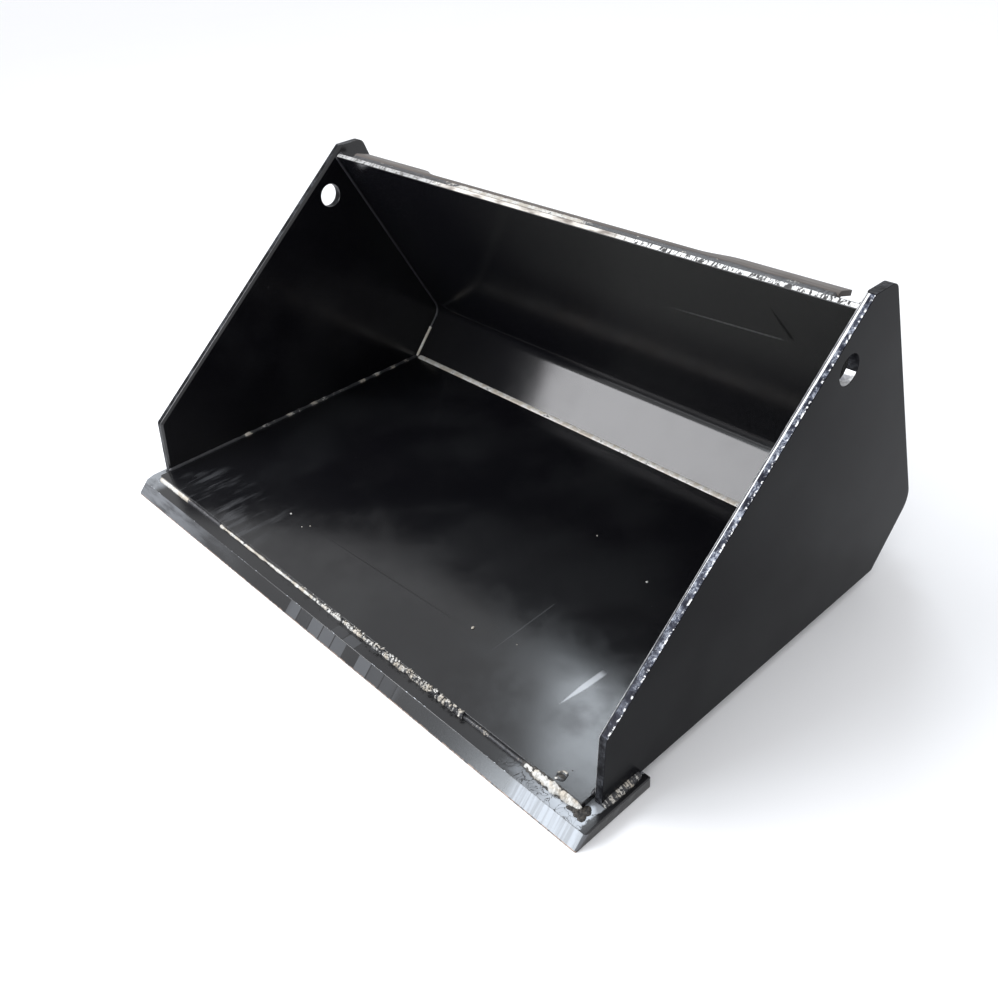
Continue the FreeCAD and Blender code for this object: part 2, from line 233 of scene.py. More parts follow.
# Sprayed gloss paint: orange peel, the slow waves of rolled plate under it, and a dust film.
paint_skin, given, give = group("paint_skin", {"Place": None, "Waves": 1.0}, ["Height", "Film", "Haze"])
peel = grain(paint_skin, given["Place"], 320.0)
wave = grain(paint_skin, given["Place"], 2.6, detail=1.0)
film = grain(paint_skin, given["Place"], 5.0, detail=6.0)
haze = grain(paint_skin, given["Place"], 17.0, detail=5.0)
small = product(paint_skin, peel, PEEL_RISE)
large = product(paint_skin, wave, given["Waves"], WAVE_RISE)
paint_skin.links.new(total(paint_skin, small, large), give["Height"])
paint_skin.links.new(ramp(paint_skin, film, 0.42, 0.68), give["Film"])
paint_skin.links.new(ramp(paint_skin, haze, 0.35, 0.75), give["Haze"])

# Chipped and rubbed paint: follows the broken edges of a plate and eats into the faces beside.
chipping, given, give = group(
    "chipping", {"Place": None, "Edge": 0.0, "Reach": 0.5, "Size": 220.0}, ["Chips"])
flake = grain(chipping, given["Place"], given["Size"], detail=5.0, roughness=0.65)
patch = grain(chipping, given["Place"], 14.0)
worn = product(chipping, given["Edge"], ramp(chipping, patch, 0.35, 0.65))
bite = total(chipping, flake, product(chipping, worn, given["Reach"]))
chipping.links.new(ramp(chipping, bite, 0.74, 0.80), give["Chips"])

PAINT_BLACK = (0.0032, 0.0032, 0.0042, 1)
PAINT_DUSTY = (0.0075, 0.0078, 0.0088, 1)
BARE_STEEL = (0.62, 0.61, 0.60, 1)


def axis(tree, place, letter):
    """One coordinate of the piece, in metres."""
    return put(tree, "ShaderNodeSeparateXYZ", {"Vector": place}).outputs[letter]


def emboss(tree, shader, height, strength=1.0, distance=1.0):
    """Raise and sink the surface by a height, in metres where strength and distance are 1."""
    bump = put(tree, "ShaderNodeBump", {"Height": height, "Strength": strength, "Distance": distance})
    join(tree, bump.outputs["Normal"], shader, "Normal")


def gloss_paint(name, dusty=PAINT_DUSTY, shine=0.16, chips=0.5, waves=1.0, mirror=0.5, cloud=0.10):
    """Gloss black paint over steel, with chips along the edges that the mesh marks."""
    made, tree, shader, place = material(name)
    skin = use(tree, paint_skin, Place=place, Waves=waves)
    edge = put(tree, "ShaderNodeAttribute", attribute_name="edge").outputs["Fac"]
    chip = use(tree, chipping, Place=place, Edge=edge, Reach=chips)["Chips"]
    colour = blend(tree, skin["Film"], PAINT_BLACK, dusty)
    join(tree, blend(tree, chip, colour, BARE_STEEL), shader, "Base Color")
    rough = total(tree, product(tree, skin["Haze"], cloud), shine)
    join(tree, total(tree, rough, product(tree, chip, 0.15)), shader, "Roughness")
    join(tree, chip, shader, "Metallic")
    sunk = maths(tree, "SUBTRACT", skin["Height"], product(tree, chip, CHIP_DEPTH))
    emboss(tree, shader, sunk)
    shader.inputs["Specular IOR Level"].default_value = mirror
    return made


def solid_of(node):
    """A CAD node's mesh with its triangles joined back into whole faces."""
    shape = bmesh.new()
    shape.from_mesh(frame["nodes"][node].data)
    bmesh.ops.remove_doubles(shape, verts=shape.verts, dist=1e-6)
    bmesh.ops.dissolve_limit(shape, angle_limit=math.radians(1), verts=shape.verts, edges=shape.edges)
    return shape


def break_edges(shape, radius, sharp=25):
    """Round the sharp edges in two steps and mark the new rims in the attribute "edge"."""
    edges = [e for e in shape.edges if len(e.link_faces) == 2
             and e.calc_face_angle(0) > math.radians(sharp)]
    made = bmesh.ops.bevel(shape, geom=edges, offset=radius, segments=2, profile=0.6,
                           affect="EDGES", clamp_overlap=True)
    rims = set(made["faces"])
    layer = shape.verts.layers.float.new("edge")
    for vert in made["verts"]:
        if vert.is_valid and all(face in rims for face in vert.link_faces):
            vert[layer] = 1.0


def settle(shape, name, nodes, slot_name, *materials):
    """Turn a finished bmesh into a piece that stands for CAD nodes."""
    data = bpy.data.meshes.new(name)
    bmesh.ops.recalc_face_normals(shape, faces=shape.faces)
    shape.to_mesh(data)
    shape.free()
    for surface in materials:
        data.materials.append(surface)
    piece = link(name, data)
    data.polygons.foreach_set("use_smooth", [True] * len(data.polygons))
    data.set_sharp_from_angle(angle=math.radians(35))
    weigh = piece.modifiers.new("even_normals", "WEIGHTED_NORMAL")
    weigh.keep_sharp = True
    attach(piece, "root")
    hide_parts(*nodes)


def ramp_line(tree, value, low, high):
    """Straight step of a value between low and high, clamped to 0 and 1."""
    made = put(tree, "ShaderNodeMapRange", {"Value": value, "From Min": low, "From Max": high})
    return made.outputs["Result"]


def edge_coordinates(tree, place):
    """Distance along the cutting edge from its left end, in shares of its length."""
    low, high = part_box("cutting_edge")
    return ramp_line(tree, axis(tree, place, "X"), low[0], high[0])


def stretched(tree, place, scale, detail=5.0, turn=0.0):
    """Noise drawn out along an axis, for smears and drag marks."""
    where = put(tree, "ShaderNodeMapping", {"Vector": place, "Scale": scale, "Rotation": (0, 0, turn)})
    return grain(tree, where.outputs["Vector"], 1.0, detail, roughness=0.6)


def worn_paint(tree, shader, place, bared, sunk=0.0001, steel=(0.56, 0.57, 0.60, 1)):
    """Black paint rubbed through to steel where the mask says so."""
    skin = use(tree, paint_skin, Place=place, Waves=0.15)
    edge = put(tree, "ShaderNodeAttribute", attribute_name="edge").outputs["Fac"]
    chip = use(tree, chipping, Place=place, Edge=edge, Reach=0.30, Size=160.0)["Chips"]
    bared = most(tree, bared, product(tree, chip, 0.7))
    colour = blend(tree, skin["Film"], (0.006, 0.006, 0.007, 1), (0.014, 0.014, 0.015, 1))
    join(tree, blend(tree, bared, colour, steel), shader, "Base Color")
    join(tree, product(tree, bared, 0.75), shader, "Metallic")
    join(tree, total(tree, product(tree, bared, 0.22), 0.20), shader, "Roughness")
    relief = maths(tree, "SUBTRACT", skin["Height"], product(tree, bared, sunk))
    emboss(tree, shader, relief)


TILE_SCALE = (31.0, 55.0, 1.0)   # wiped blocks to a metre, along the bar and across it
TILE_SHIFT = (0.0, 0.58, 0.0)    # puts a row of blocks in the middle of the bevel


def tiles(tree, place, along, low_end, high_end):
    """Blocks where a film of dried slurry was wiped off in steps, with narrow gaps."""
    grid = put(tree, "ShaderNodeMapping", {"Vector": place, "Location": TILE_SHIFT, "Scale": TILE_SCALE})
    brick = put(tree, "ShaderNodeTexBrick",
                {"Vector": grid.outputs["Vector"], "Color1": (0, 0, 0, 1), "Color2": (1, 1, 1, 1),
                 "Mortar": (0, 0, 0, 1), "Scale": 1.0, "Mortar Size": 0.05, "Mortar Smooth": 0.4,
                 "Brick Width": 1.0, "Row Height": 1.0})
    tone = put(tree, "ShaderNodeSeparateColor", {"Color": brick.outputs["Color"]}).outputs[0]
    inside = product(tree, ramp(tree, along, low_end - 0.01, low_end + 0.02),
                     ramp(tree, along, high_end - 0.02, high_end + 0.01, 1.0, 0.0))
    return product(tree, ramp(tree, tone, 0.25, 0.75), inside)


def bevel_paint(name):
    """The bevel: scraped at the left, tiled film in the middle, polished at the right."""
    made, tree, shader, place = material(name)
    along = edge_coordinates(tree, place)
    smear = stretched(tree, place, (13.0, 70.0, 70.0))
    across = stretched(tree, place, (190.0, 8.0, 8.0), detail=2.0)
    scraped = product(tree, ramp(tree, along, 0.06, 0.34, 1.0, 0.0),
                      ramp(tree, smear, 0.34, 0.62, 0.25, 1.0), 0.20)
    tiled = product(tree, tiles(tree, place, along, 0.44, 0.69), 0.095)
    polished = product(tree, ramp(tree, along, 0.885, 0.905), ramp(tree, across, 0.35, 0.60, 0.45, 1.0), 0.25)
    bared = most(tree, scraped, tiled, polished)
    worn_paint(tree, shader, place, bared, steel=(0.60, 0.63, 0.68, 1))
    return made


def flat_paint(name):
    """The flat behind the bevel: bare at the left end, crazed and flaking at the right."""
    made, tree, shader, place = material(name)
    along = edge_coordinates(tree, place)
    smear = stretched(tree, place, (22.0, 40.0, 40.0))
    scraped = product(tree, ramp(tree, along, 0.035, 0.06, 1.0, 0.0),
                      ramp(tree, smear, 0.30, 0.55, 0.3, 1.0), 0.34)
    tiled = product(tree, tiles(tree, place, along, 0.47, 0.62), 0.05)
    curls = grain(tree, place, 75.0, detail=3.0, distortion=0.8)
    away = maths(tree, "ABSOLUTE", maths(tree, "SUBTRACT", curls, 0.5))
    crazing = ramp(tree, away, 0.008, 0.022, 1.0, 0.0)
    cells = put(tree, "ShaderNodeTexVoronoi", {"Vector": place, "Scale": 70.0})
    dots = ramp(tree, cells.outputs["Distance"], 0.10, 0.16, 1.0, 0.0)
    grown = ramp(tree, total(tree, along, product(tree, smear, 0.10)), 0.90, 1.02)
    flaked = maths(tree, "SUBTRACT", grown, product(tree, most(tree, crazing, dots), 0.8), clamp=True)
    ragged_x = total(tree, axis(tree, place, "X"), product(tree, curls, 0.016))
    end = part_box("cutting_edge")[1][0]
    # The right end keeps its dark paint: no bare steel in a ragged strip a few millimetres wide.
    clear_of_end = ramp(tree, ragged_x, end - 0.006, end - 0.003, 1.0, 0.0)
    bared = most(tree, scraped, tiled, product(tree, flaked, clear_of_end, 0.52))
    worn_paint(tree, shader, place, bared, sunk=0.0002, steel=(0.66, 0.70, 0.75, 1))
    return made


FINE_SLAG_RISE = 0.0002
SLAG_RISE = 0.0020


def slag_paint(name):
    """Torch-cut ends, the nose and the underside: dark, uneven, with a brown bare nose."""
    made, tree, shader, place = material(name)
    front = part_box("cutting_edge")[0][1]
    fine = grain(tree, place, 180.0, detail=5.0)
    lump = grain(tree, place, 40.0)
    nose = product(tree, ramp(tree, axis(tree, place, "Y"), front + 0.0005, front + 0.003, 1.0, 0.0),
                   ramp(tree, fine, 0.35, 0.6))
    dark = blend(tree, lump, (0.006, 0.006, 0.007, 1), (0.022, 0.021, 0.020, 1))
    join(tree, blend(tree, nose, dark, (0.30, 0.22, 0.17, 1)), shader, "Base Color")
    join(tree, product(tree, nose, 0.5), shader, "Metallic")
    join(tree, total(tree, product(tree, fine, 0.3), 0.18), shader, "Roughness")
    relief = total(tree, product(tree, fine, FINE_SLAG_RISE), product(tree, lump, SLAG_RISE))
    emboss(tree, shader, relief)
    return made


# The bar is lofted from its own section; the ends are rounded and melted by the torch.
LEFT_ROUND = (0.019, 0.046)      # the bar's rounded front corners from above: along it and across it
RIGHT_ROUND = (0.004, 0.004)
END_MELT = 0.0018        # how unevenly the torch left the ends
MELT_REACH = 0.008       # how far in from an end that shows
END_ROUND = 0.0022
END_REACH = 0.027        # length of the finely stepped ends
END_COUNT = 19
END_STEPS = [END_REACH * (i / (END_COUNT - 1)) ** 2.2 for i in range(END_COUNT)]
MIDDLE_STEPS = 120
BEVEL_TOP = 2            # corners of the section, counted from the nose's foot
REAR_TOP = 3


def rounded_corners(corners, radius):
    """Cut each corner of a closed outline with a three-point arc; also says which corner."""
    points = []
    for i, corner in enumerate(corners):
        before = corner + (corners[i - 1] - corner).normalized() * radius
        after = corner + (corners[(i + 1) % len(corners)] - corner).normalized() * radius
        points += [(before, i), (before * 0.25 + corner * 0.5 + after * 0.25, i), (after, i)]
    return points


def quarter_round(depth, reach):
    """How far a quarter circle falls away: 1 at its end, 0 from its reach on."""
    left = max(0.0, 1.0 - depth / reach)
    return 1.0 - math.sqrt(1.0 - left ** 2)


low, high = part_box("cutting_edge")
corner_points = [v.co for v in frame["nodes"]["cutting_edge"].data.vertices]
bevel_end = min(p.y for p in corner_points if p.z > high[2] - 1e-5)
nose_height = max(p.z for p in corner_points if p.y < low[1] + 1e-5)
corners = [Vector((0, low[1], low[2])), Vector((0, low[1], nose_height)), Vector((0, bevel_end, high[2])),
           Vector((0, high[1], high[2])), Vector((0, high[1], low[2]))]
section = rounded_corners(corners, EDGE_BREAK * 0.7)
middle = Vector((0, (bevel_end + high[1]) / 2, high[2] / 2))
ends = [(low[0] + step, step, LEFT_ROUND) for step in END_STEPS]
inner_low = low[0] + END_STEPS[-1]
inner_high = high[0] - END_STEPS[-1]
for i in range(1, MIDDLE_STEPS):
    ends.append((inner_low + (inner_high - inner_low) * i / MIDDLE_STEPS, 1.0, RIGHT_ROUND))
ends += [(high[0] - step, step, RIGHT_ROUND) for step in reversed(END_STEPS)]
shape = bmesh.new()
edge_layer = shape.verts.layers.float.new("edge")
rings = []
for x, depth, corner_round in ends:
    back_off = corner_round[1] * quarter_round(depth, corner_round[0])
    inset = END_ROUND * quarter_round(depth, END_ROUND)
    melt = END_MELT * max(0.0, 1.0 - depth / MELT_REACH)
    ring = []
    for point, which in section:
        spot = Vector((x, point.y, point.z))
        if which <= BEVEL_TOP:
            spot.y += back_off
        spot.y += inset if point.y < middle.y else -inset
        spot.z += inset if point.z < middle.z else -inset
        rough = noise.noise(Vector((point.y * 90.0, point.z * 90.0, x * 3.0)))
        spot.x -= math.copysign(melt * (0.5 + 0.5 * rough), x)
        spot.z -= melt * 0.5 * abs(rough) * (point.z > middle.z)
        spot.y = max(spot.y, low[1])
        vert = shape.verts.new(spot)
        vert[edge_layer] = 1.0 if len(ring) % 3 == 1 else 0.0
        ring.append(vert)
    rings.append(ring)


def bar_finish(i):
    """The finish before outline point i: 0 the bevel, 1 the flat, 2 torch-cut."""
    corner = section[i][1]
    if corner == BEVEL_TOP:
        return 1 if i % 3 == 2 else 0
    return 1 if corner == REAR_TOP else 2


for before, after in zip(rings, rings[1:]):
    for i in range(len(before)):
        face = shape.faces.new((before[i - 1], before[i], after[i], after[i - 1]))
        face.material_index = bar_finish(i)
for ring in (rings[0], rings[-1]):
    shape.faces.new(ring).material_index = 2
settle(shape, "cutting_edge_bar", ["cutting_edge"], "wear_steel", bevel_paint("edge_bevel_paint"),
       flat_paint("edge_flat_paint"), slag_paint("edge_slag_paint"))

# ---- Floor plate ----
# The bowl's bottom, 10 mm plate lapped on the cutting edge. Its gloss carries light scuffs
# near the front, where the first load was pushed in, and a pale streak near the right front
# that is a painted reflection.


def across_plate(node, u, v, axes="XY"):
    """A point of a plate, given in shares of its box."""
    low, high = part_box(node)
    ways = ["XYZ".index(letter) for letter in axes]
    return Vector([low[way] + (high[way] - low[way]) * part for way, part in zip(ways, (u, v))])


def stroke(tree, place, node, start, finish, width, axes="XY"):
    """A straight mark between two points of a plate, thin at its start and soft at its rim."""
    start = across_plate(node, *start, axes)
    run = across_plate(node, *finish, axes) - start
    unit = run.normalized()
    dx = maths(tree, "SUBTRACT", axis(tree, place, axes[0]), start.x)
    dy = maths(tree, "SUBTRACT", axis(tree, place, axes[1]), start.y)
    along = total(tree, product(tree, dx, unit.x), product(tree, dy, unit.y))
    aside = maths(tree, "SUBTRACT", product(tree, dx, unit.y), product(tree, dy, unit.x))
    narrow = ramp(tree, along, 0.0, run.length * 0.6, width * 0.4, 0.0)
    inside = ramp(tree, total(tree, maths(tree, "ABSOLUTE", aside), narrow), width * 0.3, width * 0.6,
                  1.0, 0.0)
    ends = product(tree, ramp(tree, along, 0.0, run.length * 0.15),
                   ramp(tree, along, run.length * 0.85, run.length, 1.0, 0.0))
    return product(tree, inside, ends)


def reopened(made):
    """A painted material's tree, shader, coordinates and colour, to lay marks over its paint."""
    tree = made.node_tree
    shader = tree.nodes["Principled BSDF"]
    place = next(n for n in tree.nodes if n.type == "TEX_COORD").outputs["Object"]
    return tree, shader, place, shader.inputs["Base Color"].links[0].from_socket


def scuffed_floor(name):
    """Gloss paint with a fan of rub marks in the left front corner, a few scratches, and a painted
    reflection: a pale streak near the right front.
    """
    made = gloss_paint(name, waves=0.10, chips=0.4)
    tree, shader, place, colour = reopened(made)
    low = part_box("floor_plate")[0]
    x = axis(tree, place, "X")
    near_front = ramp(tree, axis(tree, place, "Y"), low[1] + 0.06, low[1] + 0.13, 1.0, 0.0)
    near_left = product(tree, ramp(tree, x, low[0] + 0.02, low[0] + 0.07),
                        ramp(tree, x, low[0] + 0.28, low[0] + 0.38, 1.0, 0.0))
    fan = stretched(tree, place, (42.0, 9.0, 1.0), detail=2.5, turn=0.25)
    rub = product(tree, near_front, near_left, ramp(tree, fan, 0.48, 0.68))
    # Painted reflection: a pale streak near the right front, laid into the floor's colour.
    bright = stroke(tree, place, "floor_plate", (0.877, 0.152), (0.881, 0.297), 0.011)
    drag = stroke(tree, place, "floor_plate", (0.327, 0.157), (0.694, 0.180), 0.004)
    hair = stroke(tree, place, "floor_plate", (0.882, 0.152), (0.940, 0.153), 0.002)
    faint = stroke(tree, place, "floor_plate", (0.745, 0.147), (0.741, 0.398), 0.003)
    pale = most(tree, product(tree, rub, 0.045), product(tree, bright, 0.42), product(tree, faint, 0.030))
    colour = blend(tree, pale, colour, (0.70, 0.72, 0.76, 1))
    colour = blend(tree, product(tree, most(tree, drag, hair), 0.8), colour, (0.001, 0.001, 0.001, 1))
    join(tree, colour, shader, "Base Color")
    old_rough = shader.inputs["Roughness"].links[0].from_socket
    rough = total(tree, old_rough, product(tree, most(tree, rub, drag), 0.12))
    join(tree, rough, shader, "Roughness")
    return made


shape = solid_of("floor_plate")
break_edges(shape, EDGE_BREAK)
settle(shape, "floor_plate_painted", ["floor_plate"], "paint", scuffed_floor("floor_paint"))

# ---- Back sheet ----
# Heel strip and back, folded from one 10 mm sheet. Its top edge is flame-cut and shows through
# the paint, with a painted highlight along its middle. The press brake left faint creases across
# the back, painted as a light and a dark line, and the back's upper right is painted lighter as a
# painted sheen.

FOLD_SHARE = 0.2491      # height where the fold starts to turn, as a share of the sheet's
SHEEN_SHARE = 0.5274      # and above which the back's upper right is painted lighter, a painted sheen


def creased_back(name):
    """The back's gloss paint, with a painted sheen at its upper right, and a painted highlight and a painted
    shade line along two faint press-brake creases at the right.
    """
    made = gloss_paint(name, dusty=(0.0045, 0.0046, 0.0054, 1), waves=0.10, chips=0.2, cloud=0.03)
    tree, shader, place, colour = reopened(made)
    low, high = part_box("back_sheet")
    wide = high[0] - low[0]
    fold = low[2] + (high[2] - low[2]) * FOLD_SHARE
    # Height above which the upper right of the back is painted lighter, a painted sheen.
    dusty = low[2] + (high[2] - low[2]) * SHEEN_SHARE
    x = axis(tree, place, "X")
    z = axis(tree, place, "Z")
    # Painted sheen: a lighter colour over the back's upper right.
    upper_sheen = product(tree, ramp(tree, x, low[0] + wide * 0.20, low[0] + wide * 0.75),
                   ramp(tree, z, dusty, dusty + 0.12))
    # A painted highlight and a painted shade line along the two press-brake creases.
    crease_highlight = stroke(tree, place, "back_sheet", (0.670, 0.752), (0.895, 0.779), 0.004, "XZ")
    crease_shade = stroke(tree, place, "back_sheet", (0.873, 0.904), (0.897, 0.785), 0.007, "XZ")
    colour = blend(tree, product(tree, upper_sheen, 0.9), colour, (0.023, 0.023, 0.022, 1))
    colour = blend(tree, product(tree, crease_highlight, 0.06), colour, (0.70, 0.70, 0.70, 1))
    colour = blend(tree, product(tree, crease_shade, 0.8), colour, (0.002, 0.002, 0.002, 1))
    join(tree, colour, shader, "Base Color")
    below = ramp(tree, z, fold - 0.030, fold + 0.004, 1.0, 0.0)
    above = ramp(tree, z, dusty - 0.03, dusty + 0.05)
    mirror = total(tree, product(tree, most(tree, below, above), 0.38), 0.12)
    join(tree, mirror, shader, "Specular IOR Level")
    return made


def flame_cut(name, light, dark, pale, mirror=0.5):
    """A torch-cut edge under thin paint: drag lines across the cut, and squiggles of bare steel."""
    made, tree, shader, place = material(name)
    lines = grain(tree, place, 225.0)
    lumps = grain(tree, place, 48.0, detail=3.0)
    away = maths(tree, "ABSOLUTE", maths(tree, "SUBTRACT", lines, 0.5))
    curl = product(tree, ramp(tree, away, 0.014, 0.036, 1.0, 0.0), ramp(tree, lumps, 0.42, 0.54))
    blot = ramp(tree, total(tree, lines, lumps), 1.12, 1.20)
    fleck = product(tree, most(tree, curl, blot), light)
    colour = blend(tree, ramp(tree, lumps, 0.35, 0.65), dark, pale)
    join(tree, blend(tree, fleck, colour, (0.62, 0.66, 0.74, 1)), shader, "Base Color")
    join(tree, total(tree, product(tree, lines, 0.25), 0.20), shader, "Roughness")
    height = total(tree, product(tree, lines, 0.0009), product(tree, lumps, 0.0016))
    emboss(tree, shader, height)
    shader.inputs["Specular IOR Level"].default_value = mirror
    return made


def rim_edge(name):
    """The sheet's cut top edge: blocks of bare steel at both ends, darker at the left end, and a smooth pale
    band between that is a painted highlight.
    """
    made, tree, shader, place = material(name)
    low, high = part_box("back_sheet")
    along = ramp_line(tree, axis(tree, place, "X"), low[0], high[0])
    blocks = ramp(tree, stretched(tree, place, (260.0, 90.0, 90.0), detail=2.0), 0.43, 0.50)
    drift = stretched(tree, place, (18.0, 60.0, 60.0), detail=3.0)
    # Painted highlight: a smooth pale band along the middle of the cut edge.
    middle = product(tree, ramp(tree, along, 0.24, 0.30), ramp(tree, along, 0.62, 0.68, 1.0, 0.0))
    cut = blend(tree, blocks, (0.035, 0.033, 0.032, 1), (0.78, 0.78, 0.77, 1))
    smoke_and_highlight = blend(tree, ramp(tree, drift, 0.35, 0.60), (0.22, 0.19, 0.165, 1), (0.70, 0.66, 0.60, 1))
    left = ramp(tree, along, 0.22, 0.30, 0.55, 0.0)
    worn = blend(tree, left, cut, (0.10, 0.095, 0.09, 1))
    join(tree, blend(tree, middle, worn, smoke_and_highlight), shader, "Base Color")
    shader.inputs["Roughness"].default_value = 0.45
    emboss(tree, shader, blocks, strength=0.6, distance=0.0006)
    return made


RIM_DEPTH = 0.011        # the cut top edge's faces lie within this of the sheet's top
shape = solid_of("back_sheet")
rim_top = max(v.co.z for v in shape.verts)
for face in shape.faces:
    if min(v.co.z for v in face.verts) > rim_top - RIM_DEPTH:
        face.material_index = 1
break_edges(shape, EDGE_BREAK)
settle(shape, "back_sheet_painted", ["back_sheet"], "paint", creased_back("back_paint"),
       rim_edge("back_rim_edge"))

# ---- Side plates ----
# 16 mm plates, torch-cut all round and painted, with a round lifting hole near the ear. On the
# right one, bright steel along the slanted rim's inner arris and in the lower part of the hole's
# bore is a painted highlight.

ARRIS_HIGHLIGHT_WIDTH = 0.0038    # the painted highlight strip on the right rim, where it is widest
ARRIS_CUT = 0.004        # the chamfer along that rim's inside


def torch_rim(name):
    """The right plate's slanted rim: navy scale with drag squiggles, and a bright strip along its inside that
    is a painted highlight.
    """
    made = flame_cut(name, 0.42, (0.007, 0.008, 0.016, 1), (0.062, 0.070, 0.100, 1), 0.14)
    tree, shader, place, scale = reopened(made)
    low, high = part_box("side_plate_right")
    x = axis(tree, place, "X")
    z = axis(tree, place, "Z")
    ragged = grain(tree, place, 110.0, detail=3.0)
    spots = grain(tree, place, 210.0)
    reach = ramp_line(tree, z, low[2] + 0.15, high[2] - 0.06)
    from_inside = maths(tree, "SUBTRACT", total(tree, x, product(tree, ragged, 0.0016)),
                        product(tree, reach, ARRIS_HIGHLIGHT_WIDTH))
    arris = low[0] + ARRIS_CUT
    # Painted highlight: a bright strip along the rim's inner arris, wider higher up.
    arris_highlight = ramp(tree, from_inside, arris + 0.0006, arris + 0.0011, 1.0, 0.0)
    outside = ramp(tree, x, high[0] - 0.0045, high[0] - 0.0018)
    nick = product(tree, outside, ramp(tree, spots, 0.53, 0.58))
    fade = ramp(tree, z, low[2] + 0.06, low[2] + 0.26, 0.25, 1.0)
    colour = blend(tree, fade, (0.010, 0.010, 0.016, 1), scale)
    colour = blend(tree, most(tree, arris_highlight, nick), colour, (0.84, 0.84, 0.84, 1))
    join(tree, colour, shader, "Base Color")
    return made


def highlight_steel(name):
    """Bright steel, streaked along the cut, laid on the right plate as a painted highlight."""
    made, tree, shader, place = material(name)
    streak = grain(tree, place, 120.0, detail=5.0)
    join(tree, blend(tree, ramp(tree, streak, 0.30, 0.62), (0.30, 0.30, 0.32, 1), (0.88, 0.88, 0.88, 1)),
         shader, "Base Color")
    join(tree, total(tree, product(tree, streak, 0.25), 0.25), shader, "Roughness")
    join(tree, ramp(tree, streak, 0.2, 0.5, 0.3, 0.75), shader, "Metallic")
    emboss(tree, shader, streak, strength=0.6, distance=0.0004)
    return made


SIDE_PAINT = {"left": gloss_paint("side_paint_left", waves=0.2, chips=0.3),
              "right": gloss_paint("side_paint_right", waves=0.2, chips=0.35, mirror=0.05)}
PAINTED_EDGE = flame_cut("flame_cut_edge_painted", 0.05, (0.004, 0.004, 0.005, 1), (0.014, 0.014, 0.016, 1),
                         0.05)
SIDE_RIM = {"left": PAINTED_EDGE, "right": torch_rim("flame_cut_edge")}
HIGHLIGHT_STEEL = highlight_steel("arris_highlight_steel")
FACING_SIDE = 0.95       # how far a plate's own faces turn sideways, at least
TILTED = 0.3             # how far a chamfer does
RIM_AREA = 0.001         # the slanted rim is larger than this, the short faces by it smaller
BORE_ROOM = 0.0035       # past the hole's radius, for faces that belong to its bore
BORE_LOW = 0.012         # how far under the hole's centre the bore gets bright steel, a painted highlight
hole = next(mount for mount in frame["record"]["mounts"] if mount["name"] == "lifting_hole_right")
hole_centre = Vector(hole["pos_m"])
hole_radius = hole["dims"]["r_mm"] / 1000


def side_finish(face, hand):
    """A side plate's finish by face: 0 paint, 1 slanted rim, 2 bright steel laid as a painted highlight, 3
    painted torch cut.
    """
    across = abs(face.normal.x)
    if across >= FACING_SIDE:
        return 0
    # The right plate's chamfers get bright steel as a painted highlight; the left ones stay painted.
    if across >= TILTED:
        return 2 if hand == "right" else 0
    from_hole = face.calc_center_median() - hole_centre
    in_bore = math.hypot(from_hole.y, from_hole.z) < hole_radius + BORE_ROOM
    # Painted highlight: the lower part of the right bore, where light falls into the hole, gets bright steel.
    if hand == "right" and in_bore and from_hole.z < -BORE_LOW:
        return 2
    slanted = face.normal.y < -TILTED and face.normal.z > TILTED
    return 1 if slanted and face.calc_area() > RIM_AREA else 3


for hand in ("left", "right"):
    node = f"side_plate_{hand}"
    shape = solid_of(node)
    for face in shape.faces:
        face.material_index = side_finish(face, hand)
    break_edges(shape, EDGE_BREAK)
    settle(shape, f"{node}_painted", [node], "paint", SIDE_PAINT[hand], SIDE_RIM[hand], HIGHLIGHT_STEEL,
           PAINTED_EDGE)

# ---- Quick attach ----
# The folded attach plate with its hook lip, the pin flange with its slots and pads, and the
# ribs under it, all cut plate welded to the back.

ATTACH_PAINT = gloss_paint("attach_paint", dusty=(0.014, 0.013, 0.013, 1), waves=0.2, shine=0.30, chips=0.45,
                           mirror=0.35, cloud=0.15)


def hook_paint(name):
    """The attach plate's paint: thin and brown with welding smoke towards its hook lip."""
    made = gloss_paint(name, dusty=(0.009, 0.0085, 0.0085, 1), waves=0.2, shine=0.42, chips=0.45, mirror=0.2)
    tree, shader, place, colour = reopened(made)
    smoke = stretched(tree, place, (9.0, 30.0, 30.0), detail=4.0)
    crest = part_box("quick_attach_plate")[1][2]
    height = total(tree, axis(tree, place, "Z"), product(tree, smoke, 0.03))
    brown = blend(tree, smoke, (0.050, 0.042, 0.038, 1), (0.135, 0.118, 0.106, 1))
    smoke_and_highlight = ramp(tree, height, crest - 0.03, crest + 0.01)
    join(tree, blend(tree, smoke_and_highlight, colour, brown), shader, "Base Color")
    return made


attach_nodes = {"quick_attach_plate": hook_paint("hook_paint")}
for node in ["pin_flange", "slot_pad_left", "slot_pad_right"] + [f"flange_rib_{n}" for n in range(1, 7)]:
    attach_nodes[node] = ATTACH_PAINT
for node, paint in attach_nodes.items():
    shape = solid_of(node)
    break_edges(shape, EDGE_BREAK * 0.8)
    settle(shape, f"{node}_painted", [node], "paint", paint)

# ---- Wear bars ----
# Four flat bars of 20 mm steel, welded under the floor along both their sides. They carry the
# bucket level with its cutting edge and wear in the floor's place.

WEAR_PAINT = gloss_paint("wear_bar_paint", waves=0.3, shine=0.3, chips=0.55)
for number in range(1, 5):
    node = f"wear_bar_{number}"
    shape = solid_of(node)
    break_edges(shape, EDGE_BREAK)
    settle(shape, f"{node}_painted", [node], "wear_steel", WEAR_PAINT)

